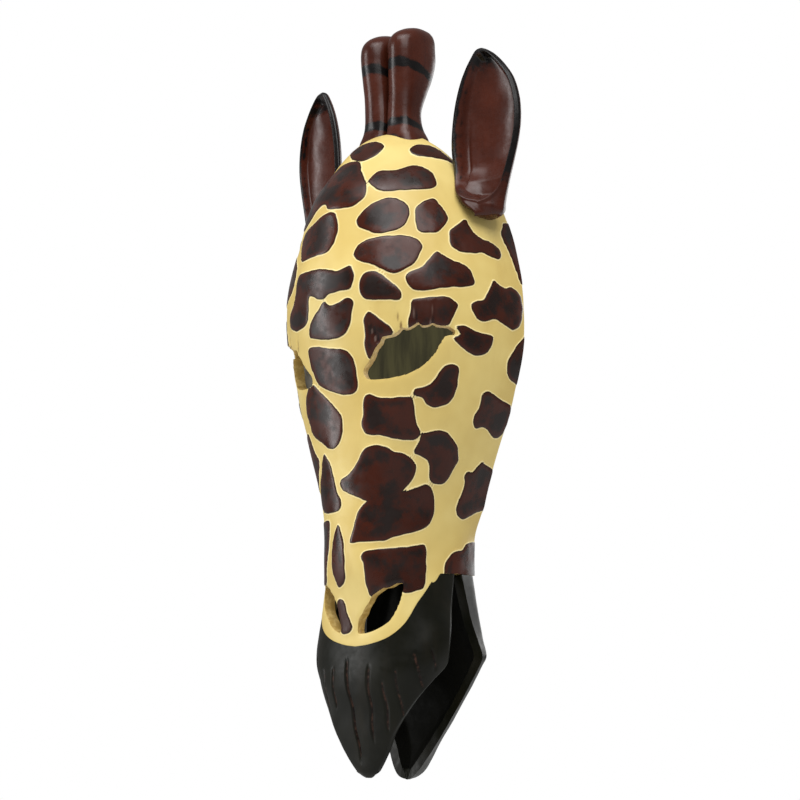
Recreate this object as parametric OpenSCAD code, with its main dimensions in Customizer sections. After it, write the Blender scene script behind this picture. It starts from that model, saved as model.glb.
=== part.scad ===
// Hollow-backed giraffe head mask that hangs on a wall, built as an assembly of carved pieces.
// Heights in the tables are counted upwards from the tip of the upper lip. The finished part has
// its origin where the wall hook carries the ring: +Z is up, the wall is the plane y = 0 and the
// face looks along -Y. Inside the modules everything stands on the tip of the lip, and hang()
// moves it into that frame.

/* [Head] */
// Width of the head at the brow
head_w = 164; // [150:1:175]
// Depth of the forehead in front of the wall
head_d = 104; // [96:1:112]
// Thickness of the carved shell
wall = 7; // [6:0.5:8]
// Gap left for glue between carved pieces
glue_gap = 0.3; // [0.2:0.1:0.5]

/* [Ears and ossicones] */
// Thickness of the edge of an ear
ear_edge = 4; // [3:0.5:5]
// Depth of the hollow in an ear
ear_hollow = 10; // [6:1:12]
// Squareness of an ossicone, 2 is an ellipse
ossicone_power = 2.8; // [2:0.1:3]

/* [Mouth] */
// Thickness of the lower jaw's sides
jaw_wall = 7; // [6:0.5:8]
// Thickness of the lower jaw's floor
jaw_floor = 4.5; // [4:0.5:6]
// Height of the top edge of the jaw's floor, which runs on behind the nose inside the shell
jaw_floor_top = 150; // [132:1:154]

/* [Dowels] */
// Diameter of the muzzle and jaw dowels
small_dowel_d = 4; // [3:0.5:4]
// Length of the muzzle and jaw dowels
small_dowel_len = 20; // [16:1:22]
// Diameter of the ear dowels
ear_dowel_d = 6; // [5:0.5:7]
// Diameter of the ossicone dowels
ossicone_dowel_d = 8; // [6:0.5:8]

/* [Hanger] */
// Height of the hook above the tip of the lip
hook_h = 376; // [372:1:378]
// Length of the cross bar
batten_len = 116; // [110:1:118]
// Height of the cross bar
batten_h = 20; // [18:1:22]
// Thickness of the cross bar
batten_t = 10; // [9:0.5:12]
// Distance of the cross bar from the wall
batten_back = 8; // [7.5:0.5:9]
// Width of the strap
strap_w = 12; // [10:1:13]
// Thickness of the strap
strap_t = 1; // [0.8:0.1:1.2]
// Diameter of the ring's wire
ring_wire_d = 2.5; // [2:0.1:2.8]
// Width inside the ring
ring_w = 20; // [18:1:24]

/* [Hidden] */
cream = [0.87, 0.79, 0.55];
mahogany = [0.30, 0.12, 0.09];
lip_black = [0.12, 0.12, 0.11];
bare_wood = [0.72, 0.55, 0.36];
steel = [0.70, 0.70, 0.72];
$fn = 48;

// The head: height, half width, depth, length of the flat side wall, power of the front's curve
head_stations = [
    [0, 5, 60, 56, 2], [4, 12, 62, 57, 2], [15, 20, 64, 60, 2.1], [35, 31, 68, 58, 2.3],
    [65, 47, 74, 44, 2.5], [76, 51, 73, 40, 2.5], [90, 51, 72, 34, 2.6], [108, 46, 75, 26, 2.6],
    [133, 44, 81, 6, 2.5], [163, 46, 82, 0, 2.5], [193, 54, 84, 0, 2.5], [223, 66, 88, 0, 2.4],
    [253, 76, 93, 0, 2.3], [283, 82, 100, 0, 2.2], [313, 81, 104, 0, 2.1], [343, 75, 99, 0, 2],
    [373, 64, 92, 0, 2], [393, 55, 78, 0, 2], [408, 44, 67, 0, 2], [418, 32, 56, 0, 2],
    [424, 22, 42, 0, 2], [427, 12, 26, 0, 2], [428, 0, 0, 0, 2]];
crown_h = 428;
crown_start = 380;
crown_axis_y = 34;
crown_fall = 30;
wide = head_w / 164;
deep = head_d / 104;

// Where cream meets black: angle from the front, height
cream_edge = [[0, 82], [9, 83.5], [20, 88], [28, 96], [34, 108], [41, 118], [47, 126], [50, 128], [90, 128]];
// Back edge of the upper lip: height, angle from the front
lip_edge = [[0, 5], [4, 10], [15, 17], [25, 21], [38, 28], [51, 36], [61, 44], [70, 52], [76, 53],
    [92, 54], [111, 58], [128, 62]];
mouth_corner_h = 128;

// Eye and nostril on the viewer's right: angle from the front, height
eye_outline = [[16, 249], [25, 248], [31, 250], [37, 256], [41, 263], [45, 271], [49, 278], [44, 280],
    [34, 277], [26, 271], [20, 260], [15, 253]];
nostril_outline = [[6, 90], [12, 91], [19, 96], [24, 103], [27, 111], [27, 119], [21, 119], [15, 116],
    [10, 109], [5, 102], [3, 94]];

// The lower jaw: height, half width and y of the rim, half width and y of the back
jaw_stations = [[-3, 0, -21, 0, -18], [-1.5, 5, -22, 3, -14], [2, 9, -22, 5.5, -9], [8, 13.5, -20, 7.5, -5],
    [19, 20, -16.5, 12, -1.5], [38, 32, -13, 25, 0], [57, 44, -11, 38.5, 0], [70, 51, -9.5, 47, 0],
    [76, 53, -9, 50.5, 0], [86, 51, -11, 48, 0], [99, 48, -14, 45.5, 0], [112, 46, -16, 43, 0],
    [128, 44.3, -19.3, 40, 0]];
jaw_power = 12;
jaw_tip = [0, -21, -3];
jaw_inner_tip = [0, -22, 4];
jaw_arm_angle = [8, 15];

// The ossicones: height, centre x, centre y, half width, half depth
ossicone_stations = [[412, 13, -34, 13, 15], [420, 12, -34.5, 12, 14], [426, 11, -35, 10.6, 12],
    [432, 10.4, -35.4, 10, 10.8], [440, 10.3, -35.3, 9.8, 10.6], [452, 10.8, -33, 10.2, 13],
    [464, 11.5, -31, 11, 16.2], [476, 12, -30, 11.5, 18.3], [486, 12, -30, 11.5, 18.2],
    [492, 12, -28.5, 10.8, 16.5], [496, 12, -26, 8.5, 12.5], [498, 12, -24, 5, 7]];

// The ears: height, inner edge, outer edge, depth of the hollow and thickness of the flesh, 0 to 1
ear_stations = [[359, 68, 84.5, 0, 1], [366, 60, 85.5, 0, 1], [373, 55.5, 87, 0.2, 0.9],
    [381, 53, 89, 0.55, 0.6], [392, 51, 92, 0.9, 0.3], [406, 49.5, 95.5, 1, 0.15],
    [420, 50, 97.5, 1, 0.1], [435, 52, 96.8, 0.95, 0.1], [449, 55.5, 93, 0.8, 0.1],
    [459, 59.5, 87, 0.55, 0.1], [467, 64, 80, 0.3, 0.1], [471, 67, 74.5, 0.1, 0.05]];
ear_mid_x = 75;
ear_mid_y = -28;
ear_turn = 0.22;
ear_flesh = 12;

small_dowel_fit = [[0, -69], [40.8, -31], [-40.8, -31]];
small_dowel_h = [82, 128, 128];
jaw_dowel_at = [39.5, -12];
ossicone_dowel_at = [12, -33];
ossicone_dowel_h = [414, 442];
ear_dowel_at = [-26, 368];
ear_dowel_x = [57, 80];

batten_h0 = hook_h - 40;
batten_front = -batten_back - batten_t;
block_t = 18;
block_h = 24;
block_x = 43;
pivot_h = batten_h0 + batten_h - 2;
ring_r = ring_wire_d / 2;
ring_clear = 0.25;
pivot_y = -batten_back + ring_r + ring_clear + strap_t;
strap_len = 17;
screw_head_h = 1.2;
screw_d = 3.5;
strap_screw_d = 2.5;
strap_screw_h = [batten_h0 + 4, batten_h0 + 10];
batten_screw_x = 51;

// Smooth curve through the rows of a table: value in column c at the place t in column 0
function rows_before(table, t) = len([for (row = table) if (row[0] <= t) 1]);
function gradient(table, i, c) =
    let (lo = max(i - 1, 0), hi = min(i + 1, len(table) - 1))
    (table[hi][c] - table[lo][c]) / (table[hi][0] - table[lo][0]);
function curve(table, t, c) =
    let (i = min(max(rows_before(table, t) - 1, 0), len(table) - 2))
    let (p = table[i], q = table[i + 1], span = q[0] - p[0], u = min(max((t - p[0]) / span, 0), 1))
    let (m = gradient(table, i, c) * span, k = gradient(table, i + 1, c) * span)
    (2*u*u*u - 3*u*u + 1) * p[c] + (u*u*u - 2*u*u + u) * m
        + (3*u*u - 2*u*u*u) * q[c] + (u*u*u - u*u) * k;
function ease(u) = let (v = min(max(u, 0), 1)) v * v * (3 - 2 * v);
function mix(a, b, u) = a + (b - a) * u;

// Distance from the axis to the head's skin at one angle, for half width a, depth d, side wall c, power n
function over_skin(r, angle, a, d, c, n) =
    pow(r * abs(sin(angle)) / a, n) + pow(max(r * cos(angle) - c, 0) / (d - c), n) - 1;
function reach(angle, a, d, c, n, lo, hi, steps) =
    let (mid = (lo + hi) / 2)
    steps == 0 ? mid
    : over_skin(mid, angle, a, d, c, n) > 0 ? reach(angle, a, d, c, n, lo, mid, steps - 1)
    : reach(angle, a, d, c, n, mid, hi, steps - 1);
// The side walls draw in towards the wall below the eyes
function tuck(h, y) = 1 - 0.1 * (1 - ease((h - 150) / 25)) * pow(max(1 + y / 30, 0), 2);

// Behind the ossicones the crown falls towards the wall
function fall(h, y) = crown_fall * ease((h - crown_start) / 40) * pow(max(y + crown_axis_y, 0) / crown_axis_y, 1.5);

// A point of the head at an angle from the front and a height, sunk below the skin by inset
function head_point(angle, h, inset) =
    let (crown = ease((h - crown_start) / (crown_h - crown_start)))
    let (a = max(curve(head_stations, h, 1) * wide - inset * (1 - crown), 0.01))
    let (d = max(curve(head_stations, h, 2) * deep - inset * (1 - crown), 0.02))
    let (c = min(curve(head_stations, h, 3), d - 0.01))
    let (r = reach(angle, a, d, max(c, 0), curve(head_stations, h, 4), 0, 130, 24))
    let (y = abs(angle) == 90 ? 0 : -r * cos(angle))
    [r * sin(angle) * tuck(h, y), y, h - inset * crown - fall(h, y)];

// Closed skin between two grids of points of the same size, whose last rows are single points
function cell(a, b, c, d) = [[a, b, c], [a, c, d]];
function solid_faces(triangles) =
    [for (t = triangles) if (t[0] != t[1] && t[1] != t[2] && t[2] != t[0]) t];
module thick_sheet(front, back, flip = false) {
    rows = len(front);
    cols = len(front[0]);
    body = (rows - 1) * cols;
    points = concat([for (i = [0:rows - 2]) each front[i]], [front[rows - 1][0]],
        [for (i = [0:rows - 2]) each back[i]], [back[rows - 1][0]]);
    function f(i, j) = i == rows - 1 ? body : i * cols + j;
    function b(i, j) = f(i, j) + body + 1;
    triangles = [
        for (i = [0:rows - 2]) for (j = [0:cols - 2]) each concat(
            cell(f(i, j), f(i + 1, j), f(i + 1, j + 1), f(i, j + 1)),
            cell(b(i, j), b(i, j + 1), b(i + 1, j + 1), b(i + 1, j))),
        for (i = [0:rows - 2]) each concat(
            cell(f(i, 0), b(i, 0), b(i + 1, 0), f(i + 1, 0)),
            cell(f(i, cols - 1), f(i + 1, cols - 1), b(i + 1, cols - 1), b(i, cols - 1))),
        for (j = [0:cols - 2]) each cell(f(0, j), f(0, j + 1), b(0, j + 1), b(0, j))];
    sound = solid_faces(triangles);
    polyhedron(points, [for (t = sound) flip ? [t[2], t[1], t[0]] : t], convexity = 6);
}

// Closed solid through rings of points, one above the other
module stack(rings) {
    n = len(rings[0]);
    top = len(rings) - 1;
    polyhedron([for (ring = rings) each ring], concat(
        [for (i = [0:top - 1]) for (j = [0:n - 1])
            each let (k = (j + 1) % n) cell(i*n + j, (i + 1)*n + j, (i + 1)*n + k, i*n + k)],
        [[for (j = [0:n - 1]) j]],
        [[for (j = [n - 1:-1:0]) top*n + j]]), convexity = 4);
}

// The filled head between two heights
module head_core(h0, h1, inset, steps = 8) {
    stack([for (i = [0:steps]) let (h = mix(h0, h1, i / steps))
        [for (angle = [-90:7.5:90]) head_point(angle, h, inset)]]);
}

module hang() translate([0, 0, -hook_h]) children();
module on_both_sides() {
    children();
    mirror([1, 0, 0]) children();
}

// A cylinder that runs from point a to point b
module rod(a, b, d) {
    run = b - a;
    translate(a) rotate([0, acos(run[2] / norm(run)), atan2(run[1], run[0])]) cylinder(h = norm(run), d = d);
}

// Prism that cuts an opening through the skin, square to it at its middle angle
module skin_cutter(outline, middle, d0, d1) {
    side = [cos(middle), sin(middle)];
    rotate([0, 0, middle]) rotate([90, 0, 0]) translate([0, 0, d0]) linear_extrude(d1 - d0)
        polygon([for (p = outline) let (q = head_point(p[0], p[1], 0)) [q[0] * side[0] + q[1] * side[1], p[1]]]);
}

module muzzle_dowel_rods() {
    for (i = [0:2]) translate([small_dowel_fit[i][0], small_dowel_fit[i][1], small_dowel_h[i] - small_dowel_len / 2])
        cylinder(h = small_dowel_len, d = small_dowel_d);
}
module jaw_dowel_rods() {
    on_both_sides() translate([jaw_dowel_at[0], jaw_dowel_at[1], mouth_corner_h - small_dowel_len / 2])
        cylinder(h = small_dowel_len, d = small_dowel_d);
}
module ossicone_dowel_rod() {
    rod([ossicone_dowel_at[0], ossicone_dowel_at[1], ossicone_dowel_h[0]],
        [ossicone_dowel_at[0], ossicone_dowel_at[1], ossicone_dowel_h[1]], ossicone_dowel_d);
}
module ear_dowel_rod() {
    rod([ear_dowel_x[0], ear_dowel_at[0], ear_dowel_at[1]],
        [ear_dowel_x[1], ear_dowel_at[0], ear_dowel_at[1]], ear_dowel_d);
}

// Height of the cream edge at an angle, and of the upper lip's top edge at u, from -1 to 1 across it
function cream_h(angle) = curve(cream_edge, abs(angle), 1);
function lip_angle(h) = curve(lip_edge, h, 1);
function lip_top(u, h = mouth_corner_h, steps = 8) =
    steps == 0 ? h - glue_gap : lip_top(u, cream_h(u * lip_angle(h)), steps - 1);
function unit(v) = v / norm(v);
function skin_inward(angle, h) = unit(cross(
    head_point(angle, h + 0.5, 0) - head_point(angle, h - 0.5, 0),
    head_point(angle + 0.5, h, 0) - head_point(angle - 0.5, h, 0)));

module face_shell() {
    rows = 30;
    function rise(i) = mix(i / rows, sin(90 * i / rows), 0.7);
    function skin(inset) = [for (i = [0:rows]) [for (angle = [-90:5:90])
        head_point(angle, mix(cream_h(angle) + 2 * glue_gap, crown_h, rise(i)), inset)]];
    color(cream) hang() difference() {
        thick_sheet(skin(0), skin(wall));
        on_both_sides() skin_cutter(eye_outline, 32, 40, 120);
        on_both_sides() skin_cutter(nostril_outline, 15, 40, 100);
        muzzle_dowel_rods();
        jaw_dowel_rods();
        on_both_sides() ossicone_dowel_rod();
        on_both_sides() ear_dowel_rod();
    }
}

module upper_muzzle() {
    rows = 18;
    cols = 24;
    function place(i, j, bottom) =
        let (u = 2 * j / cols - 1, h = mix(lip_top(u), bottom, sin(90 * i / rows))) [u * lip_angle(h), h];
    outside = [for (i = [0:rows]) [for (j = [0:cols])
        let (p = place(i, j, 0)) i == rows ? [0, -60 * deep, 0] : head_point(p[0], p[1], 0)]];
    inside = [for (i = [0:rows]) [for (j = [0:cols])
        let (p = place(i, j, 8)) i == rows ? [0, -56 * deep, 8]
            : mix(head_point(p[0], p[1], 0) + wall * skin_inward(p[0], p[1]),
                head_point(p[0], p[1], wall), ease((p[1] - 40) / 30))]];
    color(lip_black) hang() difference() {
        thick_sheet(outside, inside, true);
        muzzle_dowel_rods();
    }
}

module lower_jaw() {
    rows = 20;
    cols = 28;
    function sweep(j) = 180 * j / cols - 90;
    function top(angle) = mix(jaw_floor_top, mouth_corner_h - glue_gap,
        ease((abs(angle) - jaw_arm_angle[0]) / (jaw_arm_angle[1] - jaw_arm_angle[0])));
    // One point of the scoop: from the rim at 90 degrees either side, round the back at 0
    function scoop(angle, h, side, floor) =
        let (across = pow(abs(sin(angle)), 2 / jaw_power), back = pow(cos(angle), 2 / jaw_power))
        let (rim_w = max(curve(jaw_stations, h, 1) - side, 0.3), back_w = max(curve(jaw_stations, h, 3) - side, 0.2))
        let (rim_y = curve(jaw_stations, h, 2), back_y = max(curve(jaw_stations, h, 4) - floor, rim_y + 1))
        [sign(angle) * across * mix(rim_w, back_w, back), mix(rim_y, back_y, back), h];
    function down(j, tip, i) = mix(top(sweep(j)), tip, sin(90 * i / rows));
    outside = [for (i = [0:rows]) [for (j = [0:cols]) i == rows ? jaw_tip
        : scoop(sweep(j), down(j, jaw_tip[2], i), 0, 0)]];
    inside = [for (i = [0:rows]) [for (j = [0:cols]) i == rows ? jaw_inner_tip
        : scoop(sweep(j), down(j, jaw_inner_tip[2], i), jaw_wall, jaw_floor)]];
    color(lip_black) hang() difference() {
        thick_sheet(outside, inside);
        jaw_dowel_rods();
    }
}

module ossicone() {
    n = 24;
    function rounded(w) = sign(w) * pow(abs(w), 2 / ossicone_power);
    function ring(s) = [for (k = [0:n - 1]) let (t = 360 * k / n)
        [s[1] + s[3] * rounded(cos(t)), s[2] + s[4] * rounded(sin(t)), s[0]]];
    color(mahogany) hang() difference() {
        stack([for (s = ossicone_stations) ring(s)]);
        head_core(380, 427.8, -2 * glue_gap, 24);
        ossicone_dowel_rod();
    }
}
module right_ossicone() ossicone();
module left_ossicone() mirror([1, 0, 0]) ossicone();

module ear() {
    cols = 14;
    tip = ear_stations[len(ear_stations) - 1];
    function row(s, side) = [for (j = [0:cols])
        let (v = 2 * j / cols - 1, x = mix(s[1], s[2], j / cols), dome = 1 - v * v)
        let (edge = ear_mid_y + (x - ear_mid_x) * ear_turn, hollow = ear_hollow * s[3] * dome)
        let (flesh = ear_flesh * s[4] * dome)
        [x, edge + hollow + side * (ear_edge / 2 + flesh * (side > 0 ? 1 : 0.5)), s[0]]];
    function skin(side) = concat([for (s = ear_stations) row(s, side)],
        [[[(tip[1] + tip[2]) / 2, ear_mid_y + side * ear_edge / 2, tip[0] + 1.5]]]);
    color(mahogany) hang() difference() {
        thick_sheet(skin(-1), skin(1), true);
        head_core(330, 427.8, -glue_gap, 20);
        ear_dowel_rod();
    }
}
module right_ear() ear();
module left_ear() mirror([1, 0, 0]) ear();

module muzzle_dowels() color(bare_wood) hang() muzzle_dowel_rods();
module jaw_dowels() color(bare_wood) hang() jaw_dowel_rods();
module ossicone_dowels() color(bare_wood) hang() on_both_sides() ossicone_dowel_rod();
module ear_dowels() color(bare_wood) hang() on_both_sides() ear_dowel_rod();

module batten_screw_rods(d) {
    on_both_sides() rod([batten_screw_x, batten_front - 9, batten_h0 + batten_h / 2],
        [batten_screw_x, -batten_back, batten_h0 + batten_h / 2], d);
}
module strap_screw_rods(d, depth) {
    for (h = strap_screw_h) rod([0, -batten_back - depth, h], [0, -batten_back + strap_t, h], d);
}

module batten_blocks() color(bare_wood) hang() on_both_sides() difference() {
    intersection() {
        translate([block_x, batten_front - block_t, batten_h0 - 2]) cube([40, block_t, block_h]);
        head_core(batten_h0 - 10, batten_h0 + 30, wall + glue_gap, 4);
    }
    batten_screw_rods(screw_d);
}

module hanger_batten() color(bare_wood) hang() difference() {
    translate([-batten_len / 2, batten_front, batten_h0]) cube([batten_len, batten_t, batten_h]);
    batten_screw_rods(screw_d);
    strap_screw_rods(strap_screw_d, 8);
}

// Round-headed screw whose thread is left out: a plain shank and a domed head
module screw_head(at, d, h) translate(at) rotate([-90, 0, 0]) intersection() {
    cylinder(h = h, d = d);
    translate([0, 0, h - d]) sphere(d = 2 * d);
}

module batten_screws() color(steel) hang() {
    batten_screw_rods(screw_d);
    on_both_sides() screw_head([batten_screw_x, -batten_back, batten_h0 + batten_h / 2], 2 * screw_d, 2);
}

module strap_screws() color(steel) hang() {
    strap_screw_rods(strap_screw_d, 8);
    for (h = strap_screw_h) screw_head([0, -batten_back + strap_t, h], 2 * strap_screw_d, screw_head_h);
}

module hanger_strap() color(steel) hang() difference() {
    union() {
        translate([-strap_w / 2, -batten_back, pivot_h - strap_len]) cube([strap_w, strap_t, strap_len]);
        rod([-strap_w / 2, pivot_y, pivot_h], [strap_w / 2, pivot_y, pivot_h], 2 * (ring_r + ring_clear + strap_t));
    }
    rod([-strap_w, pivot_y, pivot_h], [strap_w, pivot_y, pivot_h], 2 * (ring_r + ring_clear));
    strap_screw_rods(strap_screw_d, 8);
}

module hanger_ring() color(steel) hang() {
    bow_r = ring_w / 2 + ring_r;
    bow_h = hook_h - ring_w / 2;
    rod([-bow_r, pivot_y, pivot_h], [bow_r, pivot_y, pivot_h], ring_wire_d);
    for (side = [-1, 1]) {
        translate([side * bow_r, pivot_y, pivot_h]) sphere(d = ring_wire_d);
        rod([side * bow_r, pivot_y, pivot_h], [side * bow_r, pivot_y, bow_h], ring_wire_d);
    }
    translate([0, pivot_y, bow_h]) rotate([90, 0, 0]) rotate_extrude(angle = 180)
        translate([bow_r, 0]) circle(d = ring_wire_d);
}

face_shell();
upper_muzzle();
lower_jaw();
left_ossicone();
right_ossicone();
left_ear();
right_ear();
muzzle_dowels();
jaw_dowels();
ossicone_dowels();
ear_dowels();
batten_blocks();
hanger_batten();
batten_screws();
hanger_strap();
strap_screws();
hanger_ring();
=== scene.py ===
"""Looks of the hollow-backed giraffe head mask.

Shapes are worked out with the head formula of the part's source, and put() moves them into the frame.
Lengths are in mm, angles in degrees from the front towards the viewer's right, heights (h) above the
tip of the upper lip. x runs to the viewer's right and y into the wall, which is at y = 0."""
import math

import bpy
import numpy as np
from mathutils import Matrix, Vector


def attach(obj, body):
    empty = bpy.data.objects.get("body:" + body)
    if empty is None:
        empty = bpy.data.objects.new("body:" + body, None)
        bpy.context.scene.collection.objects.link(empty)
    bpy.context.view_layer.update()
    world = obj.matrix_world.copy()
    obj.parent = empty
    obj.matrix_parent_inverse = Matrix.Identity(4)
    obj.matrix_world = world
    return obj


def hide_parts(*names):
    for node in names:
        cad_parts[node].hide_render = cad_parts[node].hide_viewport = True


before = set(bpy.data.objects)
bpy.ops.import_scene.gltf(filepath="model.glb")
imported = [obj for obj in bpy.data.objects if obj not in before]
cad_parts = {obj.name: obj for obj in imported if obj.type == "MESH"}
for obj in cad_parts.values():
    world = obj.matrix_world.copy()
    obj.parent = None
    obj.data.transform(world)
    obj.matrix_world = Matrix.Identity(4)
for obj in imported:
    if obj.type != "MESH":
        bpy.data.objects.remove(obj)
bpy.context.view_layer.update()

MM = 0.001
# Amounts that only keep a division or the end of a range safe
LEAST = 0.01
SLIVER = 0.001
TINY = 1e-9

SIDE_ANGLE = 90.0
HOOK_H = 376.0
WALL = 7.0
CROWN_H = 428.0
CROWN_START = 380.0
# Behind this distance from the wall the crown falls away towards it, by CROWN_FALL at the wall
CROWN_AXIS = 34.0
CROWN_FALL = 30.0
CROWN_FALL_RUN = 40.0
CROWN_FALL_POWER = 1.5
# Below this height the back of the sides draws in by a share of the width
TUCK = 0.1
TUCK_TOP_H = 150.0
TUCK_FADE = 25.0
TUCK_DEPTH = 30.0
LONGEST_REACH = 130.0
LIP_TIP_Y = -60.0
MOUTH_CORNER_H = 128.0

# The head: height, half width, depth, length of the flat side wall, power of the front's curve
HEAD = np.array([
    [0, 5, 60, 56, 2], [4, 12, 62, 57, 2], [15, 20, 64, 60, 2.1], [35, 31, 68, 58, 2.3],
    [65, 47, 74, 44, 2.5], [76, 51, 73, 40, 2.5], [90, 51, 72, 34, 2.6], [108, 46, 75, 26, 2.6],
    [133, 44, 81, 6, 2.5], [163, 46, 82, 0, 2.5], [193, 54, 84, 0, 2.5], [223, 66, 88, 0, 2.4],
    [253, 76, 93, 0, 2.3], [283, 82, 100, 0, 2.2], [313, 81, 104, 0, 2.1], [343, 75, 99, 0, 2],
    [373, 64, 92, 0, 2], [393, 55, 78, 0, 2], [408, 44, 67, 0, 2], [418, 32, 56, 0, 2],
    [424, 22, 42, 0, 2], [427, 12, 26, 0, 2], [428, 0, 0, 0, 2]], float)
HALF_WIDTH, DEPTH, SIDE_WALL, POWER = 1, 2, 3, 4

# Where cream meets black: angle from the front, height. Back edge of the upper lip: height, angle
CREAM_EDGE = np.array([
    [0, 82], [9, 83.5], [20, 88], [28, 96], [34, 108], [41, 118], [47, 126], [50, 128], [90, 128]], float)
LIP_EDGE = np.array([
    [0, 5], [4, 10], [15, 17], [25, 21], [38, 28], [51, 36], [61, 44], [70, 52], [76, 53], [92, 54],
    [111, 58], [128, 62]], float)

# The lower jaw: height, half width and y of the rim, half width and y of the back
JAW = np.array([
    [-3, 0, -21, 0, -18], [-1.5, 5, -22, 3, -14], [2, 9, -22, 5.5, -9], [8, 13.5, -20, 7.5, -5],
    [19, 20, -16.5, 12, -1.5], [38, 32, -13, 25, 0], [57, 44, -11, 38.5, 0], [70, 51, -9.5, 47, 0],
    [76, 53, -9, 50.5, 0], [86, 51, -11, 48, 0], [99, 48, -14, 45.5, 0], [112, 46, -16, 43, 0],
    [128, 44.3, -19.3, 40, 0]], float)
RIM_WIDTH, RIM_Y, BACK_WIDTH, BACK_Y = 1, 2, 3, 4

# The ossicones: height, centre x, centre y, half width, half depth
OSSICONE = np.array([
    [408, 13.4, -34, 13.4, 15.4], [420, 12, -34.5, 12, 14], [426, 11, -35, 10.6, 12],
    [432, 10.4, -35.4, 10, 10.8], [440, 10.3, -35.3, 9.8, 10.6], [452, 10.8, -33, 10.2, 13],
    [464, 11.5, -31, 11, 16.2], [476, 12, -30, 11.5, 18.3], [486, 12, -30, 11.5, 18.2],
    [492, 12, -28.5, 10.8, 16.5], [496.5, 12, -26, 8.5, 12.5], [499, 12, -24, 5, 7],
    [499.8, 12, -23.5, 0.1, 0.1]], float)
MIDDLE_X, MIDDLE_Y, WIDE, DEEP = 1, 2, 3, 4

# The ears: height, inner edge, outer edge, depth of the hollow and thickness of the flesh, 0 to 1
EAR = np.array([
    [356.8, 71, 74, 0, 1], [357.8, 70, 80.5, 0, 1], [360, 68, 84.2, 0, 1], [366, 60, 85.5, 0, 1],
    [373, 55.5, 87, 0.2, 0.9], [381, 53, 89, 0.55, 0.6], [392, 51, 92, 0.9, 0.3],
    [406, 49.5, 95.5, 1, 0.15], [420, 50, 97.5, 1, 0.1], [435, 52, 96.8, 0.95, 0.1],
    [449, 55.5, 93, 0.8, 0.1], [459, 59.5, 87, 0.55, 0.1], [467, 64, 80, 0.3, 0.1],
    [471, 67, 74.5, 0.1, 0.05], [472.5, 70.6, 70.9, 0, 0]], float)
INNER_EDGE, OUTER_EDGE, BOWL, FLESH = 1, 2, 3, 4

# Openings on the viewer's right: angle from the front, height. The upper lids are notched
EYE = [(13.7,252), (14.5,249.5), (16.5,248.2), (22.5,248.2), (27,249.3), (31.5,251), (36.5,255),
       (40,259.5), (43,265), (44.5,269.5), (46.5,274.5), (48.5,275.7), (50.5,276.5), (50.8,278.5),
       (48.8,281), (46,281.5), (43.7,281.5), (41.7,282.9), (40,281.5), (37.5,281), (36,282.8), (34,280.8),
       (31.8,279), (29.7,279.6), (28.5,277.5), (26.5,275.3), (22.5,273.9), (21.7,271.2), (19.3,267),
       (17.6,262), (15.6,258), (14,255)]
RIGHT_NOSTRIL = [(1.5,90.5), (6,90), (13,92.3), (20,97), (23.5,103), (26,110), (27.5,119), (27,121.3),
                 (24,120.7), (21,118.5), (18.5,118.2), (16.5,116.8), (12.3,113.3), (10.5,110),
                 (7.2,105.3), (5.3,102), (3,99), (2,95)]
LEFT_NOSTRIL = [(-10.3,91), (-16,93.5), (-20,99.5), (-24,106), (-26,112), (-27,119.5), (-24,121),
                (-18,120.5), (-13.6,115.5), (-11.3,110), (-10.3,102)]

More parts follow.
